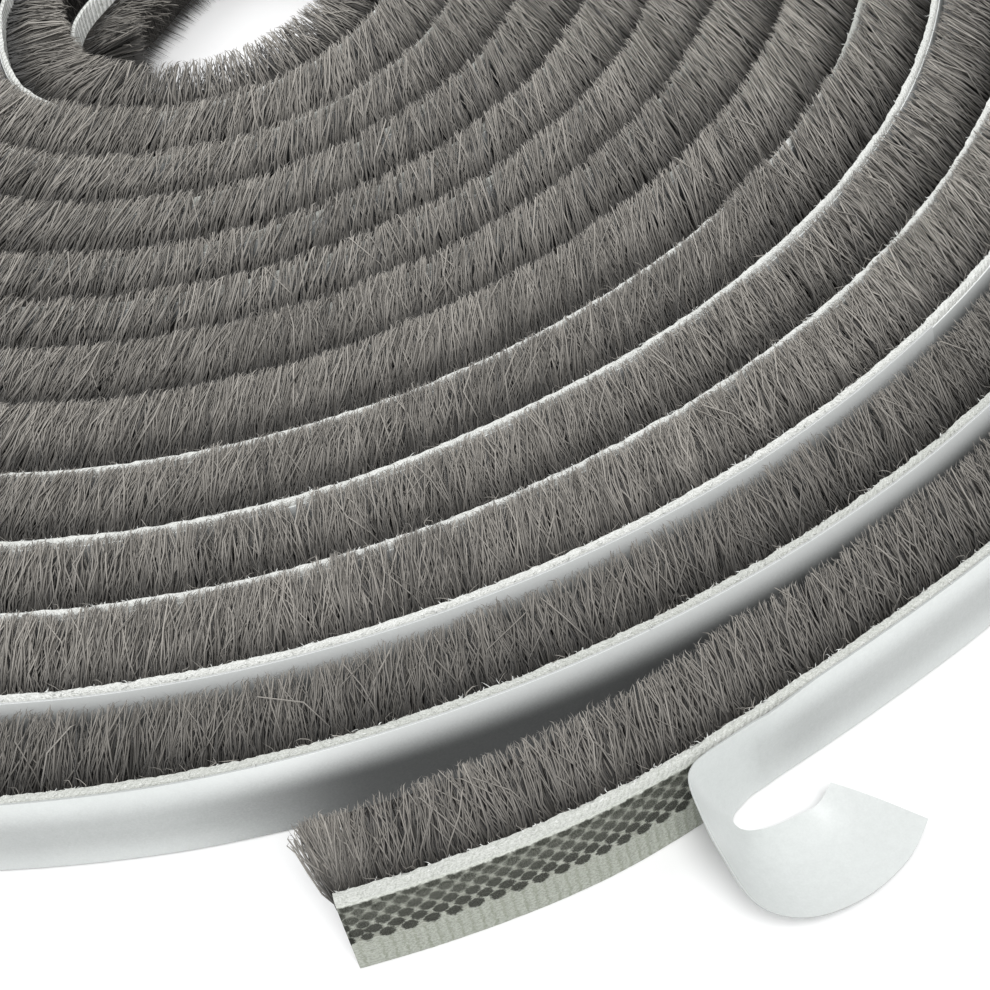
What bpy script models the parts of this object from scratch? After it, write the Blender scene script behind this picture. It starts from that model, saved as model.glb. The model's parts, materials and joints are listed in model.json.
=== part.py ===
"""Self-adhesive brush seal strip, 9 mm wide with an 8 mm pile, wound flat in a spiral coil.

The coil lies on its side with its axis upright. Turn numbers grow outwards and
clockwise seen from above. The inner turns are one turned solid whose ridges
and grooves follow the spiral on both ends. The last turn is made of its real
layers: pile, woven backing, adhesive tape and release liner, whose free end is
peeled off the tape and curls back along the coil.
"""
import math
import bpy
import bmesh
from mathutils import Vector

MM = 0.001

# strip section
STRIP_W = 9.0            # width of the backing, which stands upright in the coil
BACKING_T = 0.85         # woven backing
TAPE_T = 0.15            # adhesive tape on the outer side
LINER_T = 0.15           # release liner
LAYER_GAP = 0.10         # space kept between layers
PLY_T = 1.30             # backing, tape and liner together
PILE_LEN = 8.0           # free length of the fibres
PILE_EDGE = 0.6          # pile stands this far in from each edge of the backing
TAPE_EDGE = 1.0
LINER_EDGE = 0.2

# spiral: radius of the backing's pile side after n turns
R_START, PITCH = 19.1864, 8.30822
LOOSE, LOOSE_TURNS = 8.29154, 1.04896        # the last turns spring open
CORE, CORE_TURNS = -1.07753, 2.5             # the first turns are wound tighter
DIP, DIP_AT, DIP_TURNS = -1.29691, 6.5, 1.5
DENT, DENT_AT, DENT_BEFORE, DENT_AFTER = -7.0, 0.345, 0.115, 0.14   # the stiff inner end cuts across the bore
DRAWN_IN, DRAWN_FROM, DRAWN_TURNS = -2.1, 12.1, 0.7           # the last turn hugs the one inside it
SPRUNG, SPRUNG_AT, SPRUNG_TURNS = 2.9, 12.9585, 0.0085        # and its end springs away again
N_IN = 0.20              # inner cut end
N_STEP = 12.0            # where the layered last turn begins
N_FINE = 12.9            # stations are twice as close from here on
N_OUT = 12.996           # outer cut end
SEG = 40                 # stations in one turn
PIECE_GAP = 0.3

# peeled tail of the liner, from the peel line: along the coil, away from it, height
PEEL_DEG = 12.06         # angle between the cut end and the peel line
TAIL_TOP = ((6.5, -0.1, 8.8), (3.8, -0.1, 8.8), (2.0, -0.1, 8.8), (0.6, 0.1, 8.65),
            (-0.4, 1.0, 8.3), (-1.0, 3.4, 7.7), (-1.2, 6.3, 6.5), (-0.5, 10.1, 4.3),
            (2.8, 11.8, 1.9), (7.4, 12.5, 0.8), (12.0, 11.8, 0.45), (15.3, 10.4, 0.45))
TAIL_LOW = ((6.9, 0.5, 0.2), (5.4, 0.5, 0.2), (4.3, 0.7, 0.2), (3.5, 0.9, 0.25),
            (2.8, 1.4, 0.3), (2.6, 2.0, 0.35), (2.8, 2.8, 0.4), (3.5, 3.5, 0.5),
            (5.0, 4.1, 0.75), (7.4, 4.6, 1.2), (9.1, 4.8, 1.8), (11.0, 3.9, 2.2))
TAIL_STEPS = 3           # cross-sections between two control points

PILE_RGB = (0.30, 0.28, 0.26)
BACKING_RGB = (0.80, 0.81, 0.78)
TAPE_RGB = (0.55, 0.56, 0.53)
LINER_RGB = (0.86, 0.89, 0.88)
COIL_RGB = (0.36, 0.34, 0.32)


def radius(n):
    drawn = min(max((n - DRAWN_FROM) / DRAWN_TURNS, 0.0), 1.0)
    return (R_START + PITCH * n + LOOSE * math.exp(-(13.0 - n) / LOOSE_TURNS)
            + DRAWN_IN * drawn * drawn * (3.0 - 2.0 * drawn)
            + 0.5 * SPRUNG * (1.0 + math.tanh((n - SPRUNG_AT) / (2.0 * SPRUNG_TURNS)))
            + CORE * math.exp(-(n - 1.0) / CORE_TURNS)
            + DIP * math.exp(-((n - DIP_AT) / DIP_TURNS) ** 2)
            + DENT * math.exp(-((n - DENT_AT) / (DENT_BEFORE if n < DENT_AT else DENT_AFTER)) ** 2))


def angle(n):
    """Plan angle of the strip after n turns; a whole number of turns faces -Y."""
    return -0.5 * math.pi - 2.0 * math.pi * n


def at(r, a, z):
    return Vector((r * math.cos(a), r * math.sin(a), z))


def material(name, rgb, rough):
    m = bpy.data.materials.new(name)
    m.use_nodes = True
    b = m.node_tree.nodes["Principled BSDF"]
    b.inputs["Base Color"].default_value = (*rgb, 1.0)
    b.inputs["Roughness"].default_value = rough
    m.diffuse_color = (*rgb, 1.0)
    return m


def make_object(name, verts, faces, rgb, rough):
    mesh = bpy.data.meshes.new(name)
    bm = bmesh.new()
    vs = [bm.verts.new(v * MM) for v in verts]
    for f in faces:
        bm.faces.new([vs[i] for i in f])
    bmesh.ops.recalc_face_normals(bm, faces=bm.faces)
    bm.to_mesh(mesh)
    bm.free()
    mesh.materials.append(material(name, rgb, rough))
    ob = bpy.data.objects.new(name, mesh)
    bpy.context.scene.collection.objects.link(ob)
    for p in mesh.polygons:
        p.use_smooth = True
    mesh.set_sharp_from_angle(angle=math.radians(30.0))
    return ob


# ---------------------------------------------------------------- wound turns

def wound_coil():
    """Cells between stations; a cell is kept where the strip is, and the outer
    faces of all cells make the closed solid. Ridges stand the full width of the
    strip, the pile between them is a little lower at both ends."""
    groups = int(N_STEP)
    j_in = round((1.0 - N_IN) * SEG)
    inner_pile = radius(1.0) - radius(0.0) - PLY_T
    levels = (0.0, PILE_EDGE, STRIP_W - PILE_EDGE, STRIP_W)
    verts, index = [], {}

    def vid(j, r, level):
        key = (j % SEG, round(r, 4), level)
        if key not in index:
            index[key] = len(verts)
            verts.append(at(r, -0.5 * math.pi + 2.0 * math.pi * (j % SEG) / SEG, levels[level]))
        return index[key]

    def bounds(k, j, kind):
        n = k - j / SEG
        if kind == "ridge":
            return radius(n), radius(n) + PLY_T
        if k == 1:
            return radius(n) - inner_pile, radius(n)
        return radius(n - 1.0) + PLY_T, radius(n)

    count = {}

    def side(ids):
        key = frozenset(ids)
        if len(key) < 3:
            return
        if key in count:
            count[key] = None
        else:
            count[key] = ids

    for k in range(1, groups + 1):
        for j in range(SEG):
            if k == 1 and j >= j_in:
                continue
            for kind, layers in (("ridge", (0, 1, 2)), ("pile", (1,))):
                a0, a1 = bounds(k, j, kind)
                b0, b1 = bounds(k, j + 1, kind)
                for s in layers:
                    lo = (vid(j, a0, s), vid(j, a1, s), vid(j + 1, b1, s), vid(j + 1, b0, s))
                    hi = (vid(j, a0, s + 1), vid(j, a1, s + 1), vid(j + 1, b1, s + 1), vid(j + 1, b0, s + 1))
                    side(lo)
                    side(hi)
                    for p in range(4):
                        q = (p + 1) % 4
                        side((lo[p], lo[q], hi[q], hi[p]))
    faces = [f for f in count.values() if f]
    used = sorted({i for f in faces for i in f})
    new = {old: i for i, old in enumerate(used)}
    return make_object("wound_coil", [verts[i] for i in used],
                       [tuple(new[i] for i in f) for f in faces], COIL_RGB, 0.85)


# ---------------------------------------------------------------- last turn

def stations(n0, n1):
    """Turn numbers from n0 to n1 that share the coil's stations in between."""
    inner = [j / SEG for j in range(int(N_STEP * SEG), int(N_OUT * SEG) + 1)]
    inner = sorted(inner + [n + 0.5 / SEG for n in inner if n >= N_FINE - 1e-6])
    return [n0] + [n for n in inner if n0 + 0.004 < n < n1 - 0.004] + [n1]


def tube(name, rings, rgb, rough):
    """Closed solid through four-cornered cross-sections."""
    verts = [v for ring in rings for v in ring]
    faces = [(0, 1, 2, 3), tuple(4 * (len(rings) - 1) + i for i in (3, 2, 1, 0))]
    for s in range(len(rings) - 1):
        for i in range(4):
            j = (i + 1) % 4
            faces.append((4 * s + i, 4 * s + 4 + i, 4 * s + 4 + j, 4 * s + j))
    return make_object(name, verts, faces, rgb, rough)


def layer(name, r0, r1, z0, z1, n0, n1, rgb, rough):
    rings = []
    for n in stations(n0, n1):
        a, r = angle(n), radius(n)
        rings.append([at(r + r0, a, z0), at(r + r1, a, z0), at(r + r1, a, z1), at(r + r0, a, z1)])
    return tube(name, rings, rgb, rough)


def spline(points, t):
    """Catmull-Rom curve through the points, one unit of t for each."""
    i = min(max(int(t), 0), len(points) - 2)
    f = t - i
    p = [Vector(points[min(max(i + d, 0), len(points) - 1)]) for d in (-1, 0, 1, 2)]
    return 0.5 * (2 * p[1] + (p[2] - p[0]) * f
                  + (2 * p[0] - 5 * p[1] + 4 * p[2] - p[3]) * f * f
                  + (3 * p[1] - p[0] - 3 * p[2] + p[3]) * f ** 3)


def from_peel(p, face):
    """Point given along the coil from the peel line, away from the liner's seat, and height."""
    n_peel = N_OUT - PEEL_DEG / 360.0
    n = n_peel - p[0] / (2.0 * math.pi * radius(n_peel))
    return at(radius(n) + face + p[1], angle(n), p[2])


def release_liner(n0):
    seat = BACKING_T + TAPE_T + 2 * LAYER_GAP
    n_peel = N_OUT - PEEL_DEG / 360.0
    n_tail = n_peel - TAIL_TOP[0][0] / (2.0 * math.pi * radius(n_peel))
    rings = []
    for n in stations(n0, n_tail)[:-1]:
        a, r = angle(n), radius(n)
        rings.append([at(r + seat, a, LINER_EDGE), at(r + seat + LINER_T, a, LINER_EDGE),
                      at(r + seat + LINER_T, a, STRIP_W - LINER_EDGE), at(r + seat, a, STRIP_W - LINER_EDGE)])
    steps = (len(TAIL_TOP) - 1) * TAIL_STEPS
    top = [from_peel(spline(TAIL_TOP, i / TAIL_STEPS), seat) for i in range(steps + 1)]
    low = [from_peel(spline(TAIL_LOW, i / TAIL_STEPS), seat) for i in range(steps + 1)]
    for i in range(steps + 1):
        a, b = max(i - 1, 0), min(i + 1, steps)
        across = top[i] - low[i]
        n_low = (low[b] - low[a]).cross(across).normalized() * LINER_T
        n_top = (top[b] - top[a]).cross(across).normalized() * LINER_T
        if i == 0:
            sign = 1.0 if n_low.dot(low[0]) > 0 else -1.0
        rings.append([low[i], low[i] + sign * n_low, top[i] + sign * n_top, top[i]])
    return tube("release_liner", rings, LINER_RGB, 0.45)


def main():
    for ob in list(bpy.data.objects):
        bpy.data.objects.remove(ob, do_unlink=True)
    start = N_STEP + PIECE_GAP / (2.0 * math.pi * radius(N_STEP))
    obs = [wound_coil(),
           layer("pile", -PILE_LEN, -LAYER_GAP, PILE_EDGE, STRIP_W - PILE_EDGE,
                 start, N_OUT, PILE_RGB, 0.9),
           layer("backing", 0.0, BACKING_T, 0.0, STRIP_W, start, N_OUT, BACKING_RGB, 0.8),
           layer("adhesive_tape", BACKING_T + LAYER_GAP, BACKING_T + LAYER_GAP + TAPE_T,
                 TAPE_EDGE, STRIP_W - TAPE_EDGE, start, N_OUT, TAPE_RGB, 0.25),
           release_liner(start)]
    pts = [v.co for ob in obs for v in ob.data.vertices]
    mid = Vector((0.5 * (min(p.x for p in pts) + max(p.x for p in pts)),
                  0.5 * (min(p.y for p in pts) + max(p.y for p in pts)), 0.0))
    for ob in obs:
        for v in ob.data.vertices:
            v.co -= mid
        ob.data.update()


main()
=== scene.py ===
# Self-adhesive brush seal strip wound flat in a spiral coil, its liner peeled back at the outer end.
#
# All shapes are worked out in millimetres about the coil's axis and moved to the
# row frame at the end. Turn numbers grow outwards, clockwise seen from above.
import json
import math

import bpy
import numpy as np
from mathutils import Matrix

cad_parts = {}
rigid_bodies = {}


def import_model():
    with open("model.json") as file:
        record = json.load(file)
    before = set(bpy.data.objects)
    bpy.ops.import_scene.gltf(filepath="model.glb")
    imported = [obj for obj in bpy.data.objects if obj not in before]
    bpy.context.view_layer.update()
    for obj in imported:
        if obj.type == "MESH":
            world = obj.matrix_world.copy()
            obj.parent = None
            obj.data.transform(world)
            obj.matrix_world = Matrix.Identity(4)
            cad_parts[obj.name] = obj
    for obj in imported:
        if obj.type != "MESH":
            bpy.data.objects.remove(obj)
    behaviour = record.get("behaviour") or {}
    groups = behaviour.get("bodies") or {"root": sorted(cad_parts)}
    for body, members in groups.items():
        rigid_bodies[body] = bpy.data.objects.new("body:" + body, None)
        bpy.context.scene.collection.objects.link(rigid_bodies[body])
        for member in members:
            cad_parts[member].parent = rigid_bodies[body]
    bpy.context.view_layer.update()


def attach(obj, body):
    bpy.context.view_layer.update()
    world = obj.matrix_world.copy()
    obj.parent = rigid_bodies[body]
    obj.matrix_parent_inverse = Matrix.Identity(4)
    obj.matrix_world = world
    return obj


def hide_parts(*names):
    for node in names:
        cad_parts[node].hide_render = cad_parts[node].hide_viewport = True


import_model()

# ------------------------------------------------------------------ dimensions
AXIS_X, AXIS_Y = -2.4060, 7.1305          # the coil's axis in the row frame, mm
STRIP_W = 9.0
BACKING_T = 0.85
LINER_SEAT, LINER_T = 1.00, 0.20
LINER_EDGE = 0.2
TAPE_AT, TAPE_T, TAPE_EDGE = 0.86, 0.10, 1.0
PLY_T = 1.35
PILE_LEN = 8.0
N_IN, N_OUT = 0.20, 12.996
PEEL_DEG = 12.06
TUFT_PITCH, ROW_PITCH, ROW_LOW = 1.775, 0.823, 3.74   # woven-in pile tufts: along, across, lowest row
TAIL_TOP = ((6.5, -0.1, 8.8), (3.8, -0.1, 8.8), (2.0, -0.1, 8.8), (0.6, 0.1, 8.65),
            (-0.4, 1.0, 8.3), (-1.0, 3.4, 7.7), (-1.3, 6.5, 6.5), (-0.9, 10.7, 4.3),
            (2.0, 12.7, 1.9), (6.5, 13.4, 0.8), (11.2, 12.7, 0.45), (14.7, 11.0, 0.45))
TAIL_LOW = ((6.9, 0.5, 0.2), (5.4, 0.5, 0.2), (4.3, 0.7, 0.2), (3.5, 0.9, 0.25),
            (2.8, 1.4, 0.3), (2.6, 2.0, 0.35), (2.8, 2.8, 0.4), (3.5, 3.5, 0.5),
            (4.9, 4.2, 0.75), (7.1, 4.8, 1.15), (8.6, 5.1, 1.6), (10.4, 4.4, 2.0))

UV_FOLD = 38.0                # mm of strip before the pattern's map turns back on itself
UV_TALL = 12.0                # mm up the section that the map spans

# camera, mm about the coil's axis; angles as measured in the photograph
CAM_AT = np.array((22.09, -206.61, 122.60))
CAM_TILT, CAM_ROLL = 0.814629, -0.221763
CAM_LENS = 62.86
CAM_FOCUS_PX = 1728.64

rng = np.random.default_rng(1207)


# ------------------------------------------------------------------ the spiral
def smoothstep(x, a, b):
    f = np.clip((np.asarray(x, float) - a) / (b - a), 0.0, 1.0)
    return f * f * (3.0 - 2.0 * f)


def radius(n):
    n = np.asarray(n, float)
    dent = np.exp(-((n - 0.345) / np.where(n < 0.345, 0.115, 0.14)) ** 2)
    return (19.1864 + 8.30822 * n + 8.29154 * np.exp(-(13.0 - n) / 1.04896)
            - 1.07753 * np.exp(-(n - 1.0) / 2.5)
            - 1.29691 * np.exp(-((n - 6.5) / 1.5) ** 2) - 5.8 * dent
            + (0.45 * smoothstep(n, 1.50, 1.80) + 0.40 * smoothstep(n, 2.40, 2.75) - 0.85 * smoothstep(n, 7.25, 7.60)) * (0.72 + 0.28 * np.cos(2 * math.pi * (n - 0.03)))
            + 0.45 * np.exp(-((n - 4.06) / 0.16) ** 2)
            - 0.62 * (smoothstep(n, 8.60, 8.72) - smoothstep(n, 8.955, 8.995))
            - 1.45 * np.exp(-((n - 1.238) / 0.066) ** 2) - 2.1 * smoothstep(n, 12.1, 12.8) + 1.45 * (1.0 + np.tanh((n - 12.9585) / 0.017)))


def lean(n):
    """How far the strip's lower edge stands outside its upper edge, mm."""
    return 0.45 * smoothstep(n, 10.6, 11.4) + 0.45 * smoothstep(n, 12.955, 12.975)


def swept_back(n):
    """How far the pile's tips trail towards the inner end, as a slope; more on one side of the coil than the other."""
    n = np.asarray(n, float)
    side = np.sin(2 * math.pi * n)
    first = 0.10 + 0.50 * smoothstep(n, 1.08, 1.20)
    inner = 0.38 - 0.42 * side
    outer = 0.15 - 0.32 * side - 0.12 * smoothstep(n, 12.965, 12.99)
    slope = first + (inner - first) * smoothstep(n, 1.35, 1.7)
    slope = slope + (outer - slope) * smoothstep(n, 9.1, 9.6)
    return np.clip(slope, -0.05, 0.72)


def rolled(z):
    """How far the film's upper edge turns in over the soft edge of the tape, mm."""
    return 0.36 * smoothstep(z, 6.9, 8.9)


def spiral(n):
    """Point on the backing's pile side, unit tangent towards the outer end, and unit normal towards the pile."""
    n = np.asarray(n, float)
    a = -0.5 * math.pi - 2.0 * math.pi * n
    r = radius(n)
    dr = (radius(n + 1e-4) - radius(n - 1e-4)) / 2e-4
    er = np.stack([np.cos(a), np.sin(a)], -1)
    et = np.stack([-np.sin(a), np.cos(a)], -1)
    t = dr[..., None] * er - (2.0 * math.pi * r)[..., None] * et
    t /= np.linalg.norm(t, axis=-1, keepdims=True)
    inward = np.stack([t[..., 1], -t[..., 0]], -1)
    return r[..., None] * er, t, inward


N_TAB = np.linspace(N_IN, N_OUT, 26001)
P_TAB = spiral(N_TAB)[0]
S_TAB = np.concatenate([[0.0], np.cumsum(np.linalg.norm(np.diff(P_TAB, axis=0), axis=1))])
S_END = float(S_TAB[-1])


def n_of_s(s):
    return np.interp(s, S_TAB, N_TAB)


def s_of_n(n):
    return np.interp(n, N_TAB, S_TAB)


# the picture's frame, for deciding where detail is fine
_cr, _sr = math.cos(CAM_ROLL), math.sin(CAM_ROLL)
_ce, _se = math.cos(CAM_TILT), math.sin(CAM_TILT)
CAM_RIGHT = np.array((_cr, _sr * _se, _sr * _ce))
CAM_UP = np.array((-_sr, _cr * _se, _cr * _ce))
CAM_AHEAD = np.array((0.0, _ce, -_se))


def picture(p3):
    """Pixel place and depth in mm of points about the coil's axis."""
    d = p3 - CAM_AT
    z = d @ CAM_AHEAD
    return 495 + CAM_FOCUS_PX * (d @ CAM_RIGHT) / z, 495 - CAM_FOCUS_PX * (d @ CAM_UP) / z, z


P3_TAB = np.concatenate([P_TAB, np.full((len(P_TAB), 1), 8.0)], 1)
PX, PY, PZ = picture(P3_TAB)
SEEN = (PX > -70) & (PX < 1060) & (PY > -70) & (PY < 1060) & (PZ > 0)
NEAR = SEEN & (PZ < 175)


# ------------------------------------------------------------------ meshes
def to_object(name, verts, loops, sizes, mats, mat_index=None, uv=None, smooth=True, sharp=None):
    """verts in mm about the axis; loops is a flat list of vertex numbers, sizes the corner count of each face."""
    me = bpy.data.meshes.new(name)
    v = np.asarray(verts, np.float64).copy()
    v[:, 0] += AXIS_X
    v[:, 1] += AXIS_Y
    v *= 0.001
    sizes = np.asarray(sizes, np.int32)
    loops = np.asarray(loops, np.int32)
    me.vertices.add(len(v))
    me.vertices.foreach_set("co", v.astype(np.float32).ravel())
    me.loops.add(len(loops))
    me.loops.foreach_set("vertex_index", loops)
    me.polygons.add(len(sizes))
    start = np.zeros(len(sizes), np.int32)
    start[1:] = np.cumsum(sizes)[:-1]
    me.polygons.foreach_set("loop_start", start)
    me.polygons.foreach_set("loop_total", sizes)
    if mat_index is not None:
        me.polygons.foreach_set("material_index", np.asarray(mat_index, np.int32))
    me.polygons.foreach_set("use_smooth", np.full(len(sizes), smooth))
    if uv is not None:
        layer = me.uv_layers.new(name="OFBake")
        layer.data.foreach_set("uv", np.asarray(uv, np.float32).ravel())
    me.update(calc_edges=True)
    me.validate()
    for m in mats:
        me.materials.append(m)
    if sharp is not None:
        me.set_sharp_from_angle(angle=math.radians(sharp))
    ob = bpy.data.objects.new(name, me)
    bpy.context.scene.collection.objects.link(ob)
    return ob


def swept(name, rings, mats, col_uv=None, row_uv=None, mat_of_col=None, sharp=40.0, outward=True):
    """Closed body through rings of points, rings[station, corner]. uv is (row_uv, col_uv)."""
    rings = np.asarray(rings, float)
    ns, m = rings.shape[:2]
    verts = rings.reshape(-1, 3)
    i = np.arange(ns - 1)[:, None] * m
    j = np.arange(m)[None, :]
    jn = (j + 1) % m
    quads = np.stack([i + j, i + jn, i + m + jn, i + m + j], -1).reshape(-1, 4)
    if not outward:
        quads = quads[:, ::-1]
    loops = list(quads.ravel())
    cap0 = np.arange(m)[::-1] if outward else np.arange(m)
    cap1 = (np.arange(m) if outward else np.arange(m)[::-1]) + (ns - 1) * m
    loops += list(cap0) + list(cap1)
    sizes = [4] * len(quads) + [m, m]
    uv = None
    if row_uv is not None:
        cu = np.append(col_uv, col_uv[0] if len(col_uv) == m else col_uv[-1])[: m + 1]
        a = np.stack([np.broadcast_to(row_uv[:-1, None], (ns - 1, m)), np.broadcast_to(cu[None, :m], (ns - 1, m))], -1)
        b = np.stack([np.broadcast_to(row_uv[:-1, None], (ns - 1, m)), np.broadcast_to(cu[None, 1:m + 1], (ns - 1, m))], -1)
        c = np.stack([np.broadcast_to(row_uv[1:, None], (ns - 1, m)), np.broadcast_to(cu[None, 1:m + 1], (ns - 1, m))], -1)
        d = np.stack([np.broadcast_to(row_uv[1:, None], (ns - 1, m)), np.broadcast_to(cu[None, :m], (ns - 1, m))], -1)
        q = np.stack([a, b, c, d], 2).reshape(-1, 4, 2)
        if not outward:
            q = q[:, ::-1]
        e0 = np.stack([np.full(m, row_uv[0]), cu[:m]], -1)
        e1 = np.stack([np.full(m, row_uv[-1]), cu[:m]], -1)
        uv = np.concatenate([q.reshape(-1, 2), e0[cap0], e1[cap1 - (ns - 1) * m]])
    mi = None
    if mat_of_col is not None:
        mi = list(np.broadcast_to(mat_of_col, (ns - 1, m)).ravel()) + [0, 0]
    return to_object(name, verts, loops, sizes, mats, mi, uv, True, sharp)


# ------------------------------------------------------------------ materials
class Nodes:
    """Short names for building a node tree."""

    def __init__(self, name):
        self.mat = bpy.data.materials.new(name)
        self.mat.use_nodes = True
        self.nt = self.mat.node_tree
        self.bsdf = self.nt.nodes["Principled BSDF"]

    def link(self, a, b):
        self.nt.links.new(a, b)

    def put(self, node, key, value):
        sock = node.inputs[key]
        if hasattr(value, "is_output") or isinstance(value, bpy.types.NodeSocket):
            self.link(value, sock)
        else:
            sock.default_value = value

    def math(self, op, a, b=0.0, c=None, clamp=False):
        n = self.nt.nodes.new("ShaderNodeMath")
        n.operation = op
        n.use_clamp = clamp
        self.put(n, 0, a)
        self.put(n, 1, b)
        if c is not None:
            self.put(n, 2, c)
        return n.outputs[0]

    def noise(self, vec, scale, detail=2.0, rough=0.5, dist=0.0):
        n = self.nt.nodes.new("ShaderNodeTexNoise")
        self.link(vec, n.inputs["Vector"])
        n.inputs["Scale"].default_value = scale
        n.inputs["Detail"].default_value = detail
        n.inputs["Roughness"].default_value = rough
        n.inputs["Distortion"].default_value = dist
        return n.outputs["Fac"]

    def uv(self, name):
        n = self.nt.nodes.new("ShaderNodeUVMap")
        n.uv_map = name
        return n.outputs["UV"]

    def object(self):
        return self.nt.nodes.new("ShaderNodeTexCoord").outputs["Object"]

    def split(self, vec):
        n = self.nt.nodes.new("ShaderNodeSeparateXYZ")
        self.link(vec, n.inputs[0])
        return n.outputs

    def join(self, x, y, z=0.0):
        n = self.nt.nodes.new("ShaderNodeCombineXYZ")
        self.put(n, 0, x)
        self.put(n, 1, y)
        self.put(n, 2, z)
        return n.outputs[0]

    def scaled(self, vec, xyz):
        n = self.nt.nodes.new("ShaderNodeVectorMath")
        n.operation = "MULTIPLY"
        self.link(vec, n.inputs[0])
        n.inputs[1].default_value = xyz
        return n.outputs[0]

    def mix(self, fac, a, b):
        n = self.nt.nodes.new("ShaderNodeMix")
        n.data_type = "RGBA"
        self.put(n, 0, fac)
        for key, v in ((6, a), (7, b)):
            self.put(n, key, v if isinstance(v, bpy.types.NodeSocket) else (*v, 1.0))
        return n.outputs[2]

    def ramp(self, fac, lo, hi, clamp=True):
        n = self.nt.nodes.new("ShaderNodeMapRange")
        n.clamp = clamp
        self.put(n, 0, fac)
        n.inputs[1].default_value = lo
        n.inputs[2].default_value = hi
        return n.outputs[0]

    def smooth(self, fac, lo, hi):
        n = self.nt.nodes.new("ShaderNodeMapRange")
        n.interpolation_type = "SMOOTHSTEP"
        self.put(n, 0, fac)
        n.inputs[1].default_value = lo
        n.inputs[2].default_value = hi
        return n.outputs[0]

    def bump(self, height, strength, distance, normal=None):
        n = self.nt.nodes.new("ShaderNodeBump")
        n.inputs["Strength"].default_value = strength
        n.inputs["Distance"].default_value = distance
        self.link(height, n.inputs["Height"])
        if normal is not None:
            self.link(normal, n.inputs["Normal"])
        return n.outputs[0]

    def finish(self, color=None, rough=None, normal=None, **fixed):
        if color is not None:
            self.put(self.bsdf, "Base Color", color if isinstance(color, bpy.types.NodeSocket) else (*color, 1.0))
        if rough is not None:
            self.put(self.bsdf, "Roughness", rough)
        if normal is not None:
            self.link(normal, self.bsdf.inputs["Normal"])
        for k, v in fixed.items():
            self.bsdf.inputs[k.replace("_", " ")].default_value = v
        return self.mat


def fibre_material():
    """UV x is the fibre's tone, y runs from root to tip; along y the colour goes from dark roots, painted shade of the
    pile's depth, to light tips.
    """
    g = Nodes("pile_fibre")
    tone, along, _ = g.split(g.uv("OFBake"))
    # dark roots to light tips: painted shade of the pile's depth; tone is the fibre's own
    root = g.mix(tone, (0.022, 0.021, 0.019), (0.080, 0.075, 0.068))
    mid = g.mix(tone, (0.130, 0.122, 0.110), (0.385, 0.363, 0.330))
    tip = g.mix(tone, (0.170, 0.159, 0.143), (0.490, 0.462, 0.418))
    col = g.mix(g.smooth(along, 0.02, 0.52), root, mid)
    col = g.mix(g.smooth(along, 0.55, 0.98), col, tip)
    return g.finish(col, 0.55, Specular_IOR_Level=0.35, Sheen_Weight=0.12, Sheen_Roughness=0.4)


def strip_map(g):
    """Map coordinates in mm: along the strip, up its section, and both as a vector."""
    u, v, _ = g.split(g.uv("OFBake"))
    x = g.math("MULTIPLY", u, UV_FOLD)
    y = g.math("MULTIPLY", v, UV_TALL)
    return x, y, g.join(x, y)


def core_material():
    g = Nodes("pile_core_painted_shade")
    x, y, xy = strip_map(g)
    streak = g.noise(g.scaled(xy, (6.5, 0.55, 1.0)), 1.0, 3.0, 0.6, 0.3)
    fine = g.noise(g.scaled(xy, (17.0, 1.1, 1.0)), 1.0, 2.0, 0.6)
    v = g.math("ADD", g.math("MULTIPLY", streak, 0.6), g.math("MULTIPLY", fine, 0.4))
    # near-black colour: painted shade of the dense pile
    col = g.mix(g.smooth(v, 0.38, 0.66), (0.010, 0.0095, 0.009), (0.105, 0.098, 0.090))
    return g.finish(col, 0.85, g.bump(v, 1.0, 0.0006), Specular_IOR_Level=0.1)


def backing_material(name, light, dull, rope, period=0.60):
    """Woven tape seen on its edges: cottony, slightly cream, with the weave's ribs."""
    g = Nodes(name)
    x, y, xy = strip_map(g)
    wob = g.noise(g.scaled(xy, (1.6, 1.6, 1.0)), 1.0, 2.0, 0.5)
    twill = g.math("SINE", g.math("MULTIPLY", g.math("ADD", g.math("ADD", x, g.math("MULTIPLY", y, 0.62)), g.math("MULTIPLY", wob, 0.42)), 2 * math.pi / period))
    fuzz = g.noise(g.scaled(xy, (6.0, 8.0, 1.0)), 1.0, 4.0, 0.68, 0.4)
    thread = g.noise(g.scaled(xy, (1.3, 11.0, 1.0)), 1.0, 3.0, 0.6, 0.6)
    h = g.math("ADD", g.math("MULTIPLY", twill, rope), g.math("ADD", g.math("MULTIPLY", fuzz, 1.0), g.math("MULTIPLY", thread, 0.6)))
    c = g.mix(g.smooth(fuzz, 0.30, 0.58), dull, light)
    c = g.mix(g.math("MULTIPLY", g.smooth(thread, 0.50, 0.66), 0.50), c, (0.45, 0.47, 0.41))
    patchy = g.smooth(wob, 0.62 - rope, 0.94 - rope)
    c = g.mix(g.math("MULTIPLY", g.smooth(twill, 0.35, 0.95), g.math("MULTIPLY", patchy, 0.30 + 0.40 * rope)), c, (0.33, 0.35, 0.30))
    return g.finish(c, 0.9, g.bump(h, 0.9, 0.00016), Specular_IOR_Level=0.15, Sheen_Weight=0.15)


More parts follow.
